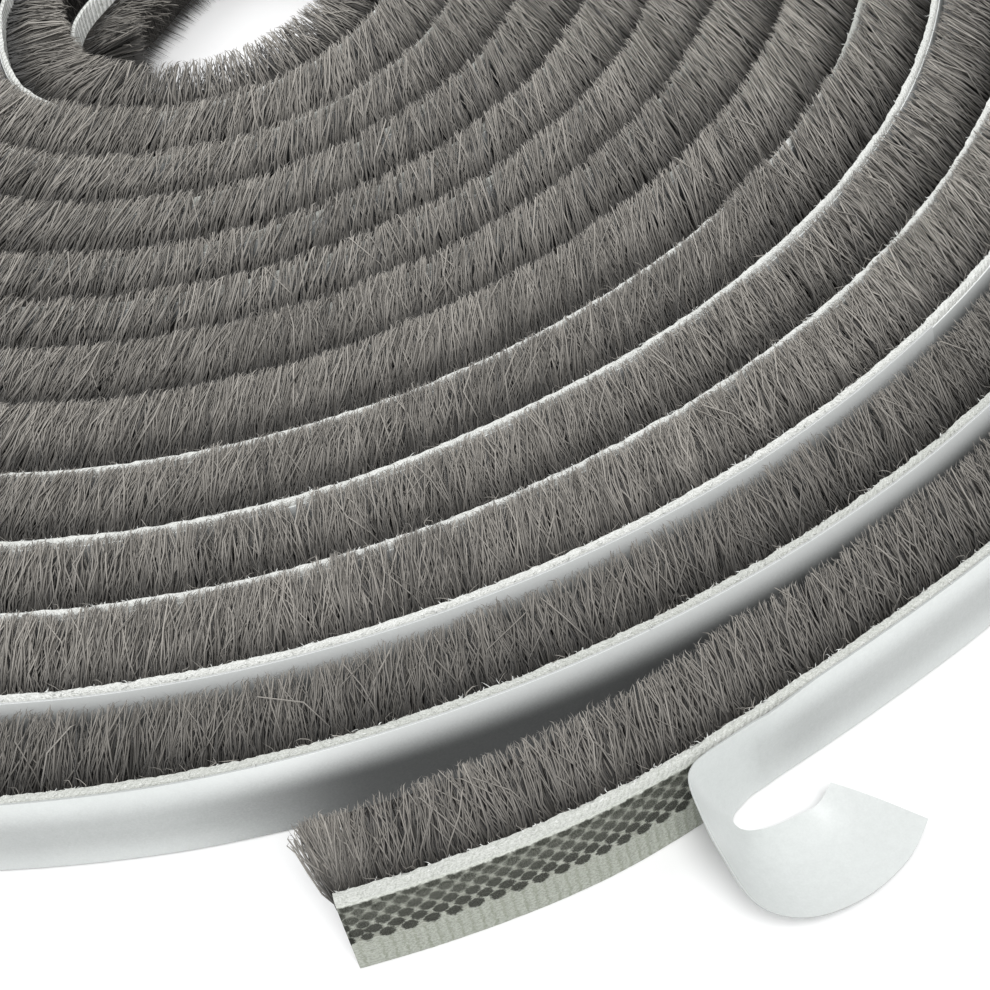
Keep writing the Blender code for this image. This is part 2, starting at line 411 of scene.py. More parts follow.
def back_face_material():
    """Outer face of the backing: staggered dark pile tufts show through the weave under the clear adhesive."""
    g = Nodes("backing_outer_face")
    x, y, xy = strip_map(g)
    wob = g.noise(g.scaled(xy, (2.3, 2.3, 1.0)), 1.0, 2.0, 0.5)
    wob2 = g.noise(g.scaled(xy, (1.9, 3.1, 1.0)), 1.0, 2.0, 0.5)
    xw = g.math("ADD", x, g.math("MULTIPLY", g.math("SUBTRACT", wob, 0.5), 0.42))
    yw = g.math("ADD", y, g.math("MULTIPLY", g.math("SUBTRACT", wob2, 0.5), 0.26))
    row = g.math("DIVIDE", g.math("SUBTRACT", yw, ROW_LOW - ROW_PITCH / 2), ROW_PITCH)
    ri = g.math("FLOOR", row)
    rf = g.math("SUBTRACT", g.math("SUBTRACT", row, ri), 0.5)
    side = g.math("SIGN", rf)
    ragged = g.noise(g.scaled(xy, (5.0, 6.5, 1.0)), 1.0, 3.0, 0.6)
    both = []
    for ri_k, rf_k in ((ri, rf), (g.math("ADD", ri, side), g.math("SUBTRACT", rf, side))):
        odd = g.math("MODULO", g.math("ADD", ri_k, 20.0), 2.0)
        col = g.math("ADD", g.math("DIVIDE", xw, TUFT_PITCH), g.math("MULTIPLY", odd, 0.5))
        cf = g.math("SUBTRACT", g.math("SUBTRACT", col, g.math("FLOOR", col)), 0.5)
        dx = g.math("MULTIPLY", cf, TUFT_PITCH / 0.70)
        dy = g.math("MULTIPLY", rf_k, ROW_PITCH / 0.56)
        d = g.math("SQRT", g.math("ADD", g.math("MULTIPLY", dx, dx), g.math("MULTIPLY", dy, dy)))
        below = g.math("LESS_THAN", ri_k, -0.5)
        both.append(g.math("ADD", d, g.math("MULTIPLY", below, 10.0)))
    d = g.math("MINIMUM", both[0], both[1])
    d = g.math("ADD", d, g.math("MULTIPLY", g.math("SUBTRACT", ragged, 0.5), 0.80))
    cloud = g.noise(g.scaled(xy, (0.8, 1.1, 1.0)), 1.0, 2.0, 0.5)
    high = g.smooth(y, 4.0, 7.4)                       # upper tufts lie deeper in the weave and look hazier
    high = g.math("MULTIPLY", high, g.math("ADD", 0.30, g.math("MULTIPLY", cloud, 1.1)))
    d = g.math("ADD", 0.95, g.math("DIVIDE", g.math("SUBTRACT", d, 0.95), g.math("ADD", 1.0, g.math("MULTIPLY", high, 1.3))))
    inside = g.math("SUBTRACT", 1.0, g.smooth(d, 0.80, 1.10))
    top = g.math("ADD", y, g.math("MULTIPLY", g.math("SUBTRACT", wob, 0.5), 0.5))
    band = g.math("SUBTRACT", 1.0, g.smooth(top, 7.95, 8.22))
    dot = g.math("MULTIPLY", inside, band)
    grain = g.noise(g.scaled(xy, (9.0, 3.0, 1.0)), 1.0, 3.0, 0.6)
    dark = g.mix(g.smooth(grain, 0.35, 0.65), (0.003, 0.0034, 0.0026), (0.026, 0.027, 0.021))
    haze = g.mix(g.smooth(grain, 0.35, 0.65), (0.034, 0.036, 0.029), (0.100, 0.104, 0.087))
    tuft = g.mix(high, dark, haze)
    ribs = g.math("SINE", g.math("MULTIPLY", g.math("ADD", x, g.math("MULTIPLY", wob, 0.7)), 2 * math.pi / (TUFT_PITCH / 2)))
    foot = g.math("SUBTRACT", 1.0, g.smooth(y, 2.9, 3.4))
    fuzz = g.noise(g.scaled(xy, (4.0, 6.0, 1.0)), 1.0, 4.0, 0.65)
    border = g.mix(g.smooth(fuzz, 0.35, 0.65), (0.30, 0.315, 0.275), (0.47, 0.49, 0.44))
    border = g.mix(g.smooth(y, 6.5, 8.0), border, g.mix(g.smooth(fuzz, 0.35, 0.65), (0.50, 0.52, 0.475), (0.72, 0.735, 0.685)))
    rib_dark = g.math("MULTIPLY", g.math("MULTIPLY", g.smooth(ribs, 0.30, 1.0), foot), g.math("ADD", 0.12, g.math("MULTIPLY", cloud, 0.55)))
    border = g.mix(rib_dark, border, (0.20, 0.22, 0.16))
    threads = g.noise(g.scaled(xy, (0.9, 9.0, 1.0)), 1.0, 3.0, 0.6, 0.5)
    over = g.smooth(y, 7.9, 8.2)
    border = g.mix(g.math("MULTIPLY", g.math("MULTIPLY", g.smooth(threads, 0.50, 0.66), over), 0.45), border, (0.42, 0.44, 0.37))
    between = g.mix(g.smooth(g.math("ADD", fuzz, g.math("MULTIPLY", cloud, 0.5)), 0.50, 1.0), (0.21, 0.219, 0.185), (0.50, 0.517, 0.460))
    inband = g.math("MULTIPLY", g.smooth(y, 3.15, 3.5), g.math("SUBTRACT", 1.0, g.smooth(top, 7.95, 8.22)))
    between = g.mix(g.math("MULTIPLY", high, 0.5), between, (0.20, 0.208, 0.178))
    c = g.mix(inband, border, between)
    c = g.mix(g.math("MULTIPLY", dot, 0.98), c, tuft)
    h = g.math("ADD", g.math("MULTIPLY", g.math("MULTIPLY", ribs, foot), -0.35), g.math("MULTIPLY", fuzz, 0.8))
    h = g.math("SUBTRACT", h, g.math("MULTIPLY", dot, 0.8))
    return g.finish(c, g.math("SUBTRACT", 0.80, g.math("MULTIPLY", inband, 0.25)), g.bump(h, 0.7, 0.00014), Specular_IOR_Level=0.05)


def liner_material(name="release_film_painted_shade", tint=(0.785, 0.816, 0.802)):
    """Satin film with painted shading: lighter at its top and foot, greyer at mid height; between turns a painted
    shadow darkens its foot and a painted highlight lightens its top. UV x above 0.5 is between turns, y runs up the
    section.
    """
    g = Nodes(name)
    obj = g.object()
    u, v, _ = g.split(g.uv("OFBake"))
    up = g.ramp(v, 0.02, 0.48)
    top_painted_light = g.smooth(up, 0.58, 0.98)
    foot = g.math("SUBTRACT", 1.0, g.smooth(up, 0.0, 0.42))
    # painted shading: lighter at the top, painted light, and at the foot, greyer at mid height; the peeled length gets
    # one flat value
    painted_shading = g.math("ADD", 0.52, g.math("ADD", g.math("MULTIPLY", top_painted_light, 0.31), g.math("MULTIPLY", foot, 0.20)))
    loose = g.math("SUBTRACT", 1.0, g.smooth(u, 0.10, 0.18))       # the peeled length is evenly lit
    painted_shading = g.math("ADD", g.math("MULTIPLY", painted_shading, g.math("SUBTRACT", 1.0, loose)), g.math("MULTIPLY", loose, 0.79))
    # painted shadow: between turns the film's foot goes dark where the next turn's pile shades it
    deep = g.math("ADD", 0.12, g.math("MULTIPLY", g.smooth(up, 0.52, 1.04), 0.86))
    between = g.smooth(u, 0.36, 0.64)
    front = g.math("LESS_THAN", v, 0.485)
    painted_shading = g.math("ADD", g.math("MULTIPLY", painted_shading, g.math("SUBTRACT", 1.0, between)), g.math("MULTIPLY", deep, between))
    # painted shade: the film's top edge and inner face get a flat 0.52, damping their highlight
    painted_shading = g.math("ADD", g.math("MULTIPLY", painted_shading, front), g.math("MULTIPLY", g.math("SUBTRACT", 1.0, front), 0.52))
    a = g.noise(obj, 1500.0, 3.0, 0.6)
    b = g.noise(obj, 130.0, 2.0, 0.5)
    shade = g.math("ADD", g.math("MULTIPLY", a, 0.5), g.math("MULTIPLY", b, 0.5))
    c = g.mix(g.smooth(shade, 0.3, 0.7), tuple(q * 0.96 for q in tint), tuple(min(q * 1.03, 1.0) for q in tint))
    # painted highlight: between turns the film's upper part is lighter
    c = g.mix(g.math("MULTIPLY", between, g.smooth(up, 0.55, 0.92)), c, (0.93, 0.955, 0.945))
    # fine grain, with more contrast where the painted shading is dark
    speck = g.noise(obj, 5200.0, 2.0, 0.7)
    painted_shading = g.math("MULTIPLY", painted_shading, g.math("ADD", 1.0, g.math("MULTIPLY", g.math("SUBTRACT", speck, 0.5), g.math("SUBTRACT", 0.62, g.math("MULTIPLY", painted_shading, 0.60)))))
    # the painted shading scales the colour towards near black
    c = g.mix(painted_shading, (0.006, 0.007, 0.007), c)
    r = g.math("ADD", 0.36, g.math("MULTIPLY", a, 0.12))
    h = g.math("ADD", g.math("MULTIPLY", a, 0.5), g.math("MULTIPLY", b, 1.6))
    return g.finish(c, r, g.bump(h, 0.25, 0.00010), Specular_IOR_Level=0.45, Coat_Weight=0.15, Coat_Roughness=0.3)


def tape_material():
    g = Nodes("adhesive_film")
    obj = g.object()
    a = g.noise(obj, 700.0, 3.0, 0.6)
    c = g.mix(a, (0.50, 0.52, 0.44), (0.60, 0.62, 0.54))
    return g.finish(c, g.math("ADD", 0.12, g.math("MULTIPLY", a, 0.22)), g.bump(a, 0.35, 0.0001), Alpha=0.03, Specular_IOR_Level=0.4)


def floor_material():
    g = Nodes("pale_floor")
    a = g.noise(g.object(), 60.0, 3.0, 0.5)
    c = g.mix(a, (0.935, 0.935, 0.935), (0.955, 0.955, 0.955))
    return g.finish(c, 0.7, Specular_IOR_Level=0.2)


FIBRE, CORE = fibre_material(), core_material()
# Copies of one woven tape, lit and shaded in paint: the inner and first-turn copies are lighter, painted light, and the
# one under the tips is darker, painted shade; the first turn's twill is also stronger.
WEAVE = backing_material("woven_backing", (0.76, 0.775, 0.735), (0.50, 0.515, 0.475), 0.25)
WEAVE_INNER_PAINTED_LIGHT = backing_material("woven_backing_inner_painted_light", (0.96, 0.97, 0.94), (0.68, 0.695, 0.655), 0.22)
WEAVE_FIRST_PAINTED_LIGHT = backing_material("woven_backing_first_turn_painted_light", (0.99, 1.0, 0.97), (0.80, 0.81, 0.78), 0.55, 0.90)
WEAVE_PAINTED_SHADE = backing_material("woven_backing_painted_shade_under_tips", (0.60, 0.61, 0.58), (0.42, 0.43, 0.40), 0.22)
BACK_FACE = back_face_material()
LINER, TAPE = liner_material(), tape_material()


def fuzz_material():
    g = Nodes("edge_fuzz")
    tone, along, _ = g.split(g.uv("OFBake"))
    c = g.mix(tone, (0.62, 0.63, 0.60), (0.90, 0.91, 0.89))
    return g.finish(c, 0.7, Specular_IOR_Level=0.3, Sheen_Weight=0.2)


FUZZ = fuzz_material()


# ------------------------------------------------------------------ stations along the strip
def station_list(fine, coarse, n0=N_IN, n1=N_OUT, n_fine=7.0):
    """Turn numbers a step apart: fine where the picture shows the strip's edge, coarse elsewhere."""
    out = [n0]
    while out[-1] < n1:
        n = out[-1]
        k = min(int((n - N_IN) / (N_OUT - N_IN) * (len(N_TAB) - 1)), len(N_TAB) - 1)
        step = fine if (SEEN[k] and n >= n_fine) else coarse
        out.append(n + step / (2 * math.pi * float(radius(n))))
    out[-1] = n1
    if out[-1] - out[-2] < 1e-5:
        del out[-2]
    return np.array(out)


def section(n, offs, zs):
    """rings[station, corner] from outward offsets and heights, each (stations, corners) or (corners,)."""
    p, _, inward = spiral(n)
    offs = np.broadcast_to(offs, (len(n), np.shape(offs)[-1]))
    zs = np.broadcast_to(zs, offs.shape)
    offs = offs + lean(n)[:, None] * (1.0 - zs / STRIP_W)
    xy = p[:, None, :] - inward[:, None, :] * offs[..., None]
    return np.concatenate([xy, zs[..., None]], -1)


def smooth_noise(x, scale, seed):
    """1-D value noise, about -1 to 1."""
    g = np.random.default_rng(seed).uniform(-1, 1, 40000)
    u = np.asarray(x) / scale + 7.0
    i = np.floor(u).astype(int)
    f = u - i
    f = f * f * (3 - 2 * f)
    return g[i % 40000] * (1 - f) + g[(i + 1) % 40000] * f


def along_uv(s):
    """Distance along the strip as a map coordinate that runs to and fro, so nothing jumps."""
    return 1.0 - np.abs(1.0 - np.mod(np.asarray(s) / UV_FOLD, 2.0))


def to_and_fro(x):
    return 1.0 - np.abs(1.0 - np.mod(x, 2.0))


def film_uv(s):
    """Along the film: above 0.7 between turns, where the material paints the next turn's shadow; 0.18 to 0.3 where it
    faces outwards, below 0.1 on the peeled length.
    """
    s = np.asarray(s, float)
    s1, s2 = float(s_of_n(11.985)), float(s_of_n(12.022))
    s3 = float(s_of_n(N_OUT - PEEL_DEG / 360.0)) - 12.0
    fold = (s3 - s2) / 21
    return np.where(s < s1, 0.70 + 0.28 * to_and_fro((s1 - s) / UV_FOLD),
           np.where(s < s2, 0.70 - 0.40 * (s - s1) / (s2 - s1),
           np.where(s < s3, 0.18 + 0.12 * to_and_fro((s3 - s) / fold),
           np.where(s < s3 + 8.0, 0.18 - 0.08 * (s - s3) / 8.0, 0.10 - 0.08 * np.minimum((s - s3 - 8.0) / 60.0, 1.0)))))


def make_backing():
    n = np.concatenate([station_list(0.90, 3.0, N_IN, 1.5, 0.0)[:-1], station_list(0.60, 3.0, 1.5, 11.0)[:-1], station_list(0.32, 3.0, 11.0, N_OUT)])
    s = s_of_n(n)
    knot = np.abs(np.sin(math.pi * s / 0.92 + 1.1 * smooth_noise(s, 2.7, 10)))
    lump = 0.55 * smooth_noise(s, 0.55, 11) + 0.45 * smooth_noise(s, 1.9, 12)
    lump2 = 0.6 * smooth_noise(s, 0.62, 13) + 0.4 * smooth_noise(s, 2.3, 14)
    lump3 = 0.5 * smooth_noise(s, 0.7, 15) + 0.5 * smooth_noise(s, 2.7, 16)
    t = BACKING_T
    one = np.ones_like(s)
    offs = np.stack([0.02 * one, t * one, t * one, t * one, 0.80 * one, 0.67 + 0.02 * lump3,
                     0.42 + 0.05 * lump, 0.09 - 0.08 * knot + 0.11 * lump2, 0.02 - 0.07 * knot + 0.07 * lump], 1)
    zs = np.stack([0.05 + 0.04 * lump, 0.05 + 0.04 * lump, 4.5 * one, 7.5 * one, 8.35 * one, 8.82 + 0.03 * lump,
                   9.02 + 0.07 * lump3, 8.96 + 0.11 * lump, 8.30 + 0.16 * lump2], 1)
    col = np.array([11.9, 0.05, 4.5, 7.5, 8.4, 8.95, 9.35, 9.9, 10.6, 11.9]) / UV_TALL
    rings = section(n, offs, zs)
    sides = np.tile([0, 1, 1, 1, 0, 0, 0, 0, 0], (len(n) - 1, 1))
    # Inner turns' edges take the lighter copies, painted light; edges under the next turn's tips take the darker copy,
    # painted shade.
    sides[(n[:-1] < 11.4)[:, None] & (sides == 0)] = 2
    sides[(n[:-1] < 1.5)[:, None] & (sides == 2)] = 3
    sides[(((n[:-1] > 2.48) & (n[:-1] < 7.85)) | ((n[:-1] > 1.62) & (n[:-1] < 2.08)))[:, None] & (sides == 2)] = 4
    ob = swept("woven_backing", rings, [WEAVE, BACK_FACE, WEAVE_INNER_PAINTED_LIGHT, WEAVE_FIRST_PAINTED_LIGHT, WEAVE_PAINTED_SHADE], col, along_uv(s), sides, 60.0, outward=False)
    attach(ob, "root")
    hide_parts("backing", "wound_coil")
    return ob


def spline(points, t):
    p = np.asarray(points, float)
    i = np.clip(np.floor(t).astype(int), 0, len(p) - 2)
    f = (t - i)[:, None]
    q = [p[np.clip(i + d, 0, len(p) - 1)] for d in (-1, 0, 1, 2)]
    return 0.5 * (2 * q[1] + (q[2] - q[0]) * f + (2 * q[0] - 5 * q[1] + 4 * q[2] - q[3]) * f ** 2
                  + (3 * q[1] - q[0] - 3 * q[2] + q[3]) * f ** 3)


def from_peel(p, face):
    n_peel = N_OUT - PEEL_DEG / 360.0
    n = n_peel - p[:, 0] / (2 * math.pi * float(radius(n_peel)))
    xy, _, inward = spiral(n)
    return np.concatenate([xy - inward * (face + p[:, 1:2]), p[:, 2:3]], 1)


def make_liner():
    """Plain band in the inner turns; one film with its peeled tail in the last turns."""
    n_join = 10.9
    n = station_list(3.0, 4.0, N_IN + 0.003, n_join, 0.0)
    top = 8.45
    offs = np.array([LINER_SEAT, LINER_SEAT + LINER_T, LINER_SEAT + LINER_T, LINER_SEAT + LINER_T - rolled(top), LINER_SEAT - rolled(top), LINER_SEAT])
    zs = np.array([LINER_EDGE, LINER_EDGE, 6.9, top, top, 6.9])
    col = np.array([0.98, 0.02, 0.35, 0.44, 0.52, 0.6, 0.98])
    inner_turns = swept("release_liner_inner", section(n, offs, zs), [LINER], col, film_uv(s_of_n(n)), None, 40.0, outward=False)
    n_peel = N_OUT - PEEL_DEG / 360.0
    n_tail = n_peel - TAIL_LOW[0][0] / (2 * math.pi * float(radius(n_peel)))
    n = station_list(1.6, 3.0, n_join, n_tail - 0.0012)
    cross = 9                     # points up the face
    zf = LINER_EDGE + (STRIP_W - 0.2 - LINER_EDGE) * np.linspace(0, 1, cross)
    s = s_of_n(n)
    k = np.linspace(-1, 1, cross)[None, :]
    wave = 0.06 * (1 + smooth_noise(s, 26.0, 21)[:, None]) * np.abs(k) ** 3 + 0.03 * smooth_noise(s, 7.0, 22)[:, None]
    swell = wave + 0.02
    fade = smoothstep(s, s[-1] - 6.0, s[-1])[:, None]
    swell = swell * (1 - fade)
    roll = rolled(zf)[None, :] * (1 - 0.999 * fade)
    outer = section(n, LINER_SEAT + LINER_T + swell - roll, zf)
    inner = section(n, LINER_SEAT + swell - roll, zf)
    steps = (len(TAIL_TOP) - 1) * 10
    t = np.linspace(0, len(TAIL_TOP) - 1, steps + 1)
    top = from_peel(spline(TAIL_TOP, t), LINER_SEAT + 0.2 * smoothstep(t, 0.0, 3.0)[:, None])
    low = from_peel(spline(TAIL_LOW, t), LINER_SEAT + 0.2 * smoothstep(t, 0.0, 3.0)[:, None])
    w = np.linspace(0, 1, cross)[None, :, None]
    grid = low[:, None] * (1 - w) + top[:, None] * w
    # the free film bows a little across its width
    along = np.gradient(grid, axis=0)
    across = np.gradient(grid, axis=1)
    nrm = np.cross(along, across)
    nrm /= np.linalg.norm(nrm, axis=-1, keepdims=True)
    nrm *= np.sign(np.sum(nrm[0, 0, :2] * low[0, :2]))
    bow = np.sin(math.pi * w) * smoothstep(t, 2.5, 6.0)[:, None, None] * 0.45
    film = grid - nrm * bow
    # the cut end is a shallow curve
    bulge = smoothstep(t, len(TAIL_TOP) - 2.0, len(TAIL_TOP) - 1.0)[:, None, None]
    heading = along / np.linalg.norm(along, axis=-1, keepdims=True)
    film = film + heading * bulge * np.sin(math.pi * w) * 0.35
    thin = LINER_T + (0.13 - LINER_T) * smoothstep(t, 0.0, 2.0)[:, None, None]
    film_out = film + nrm * thin
    inner = np.concatenate([inner, film])
    outer = np.concatenate([outer, film_out])
    inner[:, :, 2] = np.maximum(inner[:, :, 2], 0.04)
    outer[:, :, 2] = np.maximum(outer[:, :, 2], 0.04)
    rings = np.concatenate([outer, inner[:, ::-1]], 1)
    row = np.concatenate([s, s[-1] + np.arange(1, len(t) + 1) * 0.33])
    col = np.concatenate([np.linspace(0.02, 0.48, cross), np.linspace(0.52, 0.98, cross), [1.0]])
    last_turns = swept("release_liner_film", rings, [LINER], col, film_uv(row), None, 40.0, outward=False)
    for ob in (inner_turns, last_turns):
        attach(ob, "root")
        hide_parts("release_liner", "wound_coil")


def make_tape():
    n = station_list(1.2, 4.0, 12.0, N_OUT - 0.0004)
    offs = np.array([TAPE_AT, TAPE_AT + TAPE_T, TAPE_AT + TAPE_T, TAPE_AT])
    zs = np.array([1.3, 1.3, 7.25, 7.25])
    ob = swept("adhesive_film_strip", section(n, offs, zs), [TAPE], np.array([0.1, 0.15, 0.8, 0.85, 0.1]), along_uv(s_of_n(n)), None, 30.0, outward=False)
    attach(ob, "root")
    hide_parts("adhesive_tape")
    return ob


def gap_at(n):
    """Room for the pile between the backing and the next turn's liner inside it; large where nothing is there."""
    return np.where(n - 1.0 >= N_IN, radius(n) - radius(np.maximum(n - 1.0, N_IN)) - PLY_T, 60.0)


def make_core():
    """Dark filler for the pile's heart, its darkness painted shade of the dense fibres; short of the fibres' tips and
    well below their tops.
    """
    n = station_list(2.6, 4.5, N_IN + 0.006, N_OUT - 0.0022, 0.0)
    s = s_of_n(n)
    open_end = smoothstep(n, 12.80, 12.88)
    first = 1.0 - smoothstep(n, 1.2, 1.4)
    reach = np.minimum(5.4 + 1.7 * open_end + 0.9 * first, gap_at(n) - 0.6) + 0.10 * np.exp(-(S_END - s) / 40.0)
    reach = np.minimum(reach, 0.5 * radius(n))
    a = 0.25 * smooth_noise(s, 2.1, 31)
    b = 0.25 * smooth_noise(s, 2.3, 32)
    one = np.ones_like(s)
    offs = np.stack([-0.03 * one, -0.03 * one, -reach * 0.5, -reach, -reach, -reach * 0.5], 1)
    zs = np.stack([3.3 * one, 6.3 * one, 6.7 + a + 0.3 * open_end, 7.0 + b + 0.95 * open_end + 0.15 * np.exp(-(S_END - s) / 30.0), 2.2 + a, 2.6 + b], 1)
    d = np.array([0, 2.5, 5.0, 7.5, 11.8, 9.0, 0.0]) / UV_TALL
    ob = swept("pile_core_painted_shade", section(n, offs, zs), [CORE], d, along_uv(s), None, 60.0, outward=True)
    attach(ob, "root")
    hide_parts("pile", "wound_coil")
    return ob


# ------------------------------------------------------------------ fibres
def strands(name, pts, width, tone, taper, mat, v0=0.0, v1=1.0, at_t=None, power=None):
    """Closed three-sided strands. pts[count, k, 3] from root to tip; taper[k-1] scales the width at each point but the last."""
    m, k = pts.shape[:2]
    d = np.gradient(pts, axis=1)
    d /= np.maximum(np.linalg.norm(d, axis=-1, keepdims=True), 1e-9)
    up = np.zeros_like(d)
    up[..., 2] = 1.0
    u = np.cross(d, up)
    ln = np.linalg.norm(u, axis=-1, keepdims=True)
    u = np.where(ln > 0.05, u / np.maximum(ln, 1e-9), np.array([1.0, 0, 0]))
    v = np.cross(d, u)
    ph = rng.uniform(0, 2 * math.pi, m)[:, None]
    rings = []
    for c in range(3):
        a = ph + c * 2 * math.pi / 3
        w = 0.5 * width[:, None] * np.asarray(taper)[None, :]
        off = (np.cos(a) * w)[..., None] * u[:, :-1] + (np.sin(a) * w)[..., None] * v[:, :-1]
        rings.append(pts[:, :-1] + off)
    body = np.stack(rings, 2).reshape(m, (k - 1) * 3, 3)
    verts = np.concatenate([body, pts[:, -1:]], 1)
    per = verts.shape[1]
    fl, fs = [0, 1, 2], [3]
    for a in range(k - 2):
        for c in range(3):
            e = (c + 1) % 3
            fl += [3 * a + e, 3 * a + c, 3 * a + 3 + c, 3 * a + 3 + e]
            fs.append(4)
    a = k - 2
    for c in range(3):
        e = (c + 1) % 3
        fl += [3 * a + e, 3 * a + c, per - 1]
        fs.append(3)
    fl = np.array(fl)
    level = np.asarray(at_t if at_t is not None else np.linspace(0, 1, k), float)[np.minimum(fl // 3, k - 1)]
    side = np.where(fl == per - 1, 1, fl % 3) - 1.0
    loops = (np.arange(m)[:, None] * per + fl[None, :]).ravel()
    sizes = np.tile(fs, m)
    uu = np.clip(tone[:, None] * 0.98 + 0.01 + side[None, :] * 0.004, 0, 1)
    power = np.ones(m) if power is None else power
    # a power above 1 gives more of the strand the dark root colour, painted shade
    vv = v0 + (v1 - v0) * level[None, :] ** power[:, None]
    uv = np.stack([uu.ravel(), vv.ravel()], 1)
    ob = to_object(name, verts.reshape(-1, 3), loops, sizes, [mat], None, uv, True, None)
    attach(ob, "root")
    TRIS[name] = int(sum(2 if q == 4 else 1 for q in fs) * m)
    return ob


def beyond(n):
    """How far the tips run past the liner of the turn inside, mm, where the pile has no room to lie straight."""
    n = np.asarray(n, float)
    hide = 1.75 - 0.18 * smoothstep(n, 2.5, 2.7) + 0.40 * smoothstep(n, 3.4, 3.7) - 0.05 * np.cos(2 * math.pi * n)
    hide = hide - 1.35 * (smoothstep(n, 2.11, 2.145) - smoothstep(n, 2.42, 2.46))
    patch = smoothstep(n, 8.845, 8.87) - smoothstep(n, 8.895, 8.912)
    return (hide + (0.85 - hide) * smoothstep(n, 8.05, 8.35) + 0.80 * patch - 0.35 * (smoothstep(n, 8.915, 8.93) - smoothstep(n, 9.1, 9.2))
            - 0.42 * smoothstep(n, 9.15, 9.4) - 0.36 * (smoothstep(n, 9.5, 9.7) - smoothstep(n, 10.05, 10.2)) + 0.05 * smoothstep(n, 10.15, 10.4))


def hashed(a, b):
    x = np.sin(a * 12.9898 + b * 78.233) * 43758.5453
    return x - np.floor(x)


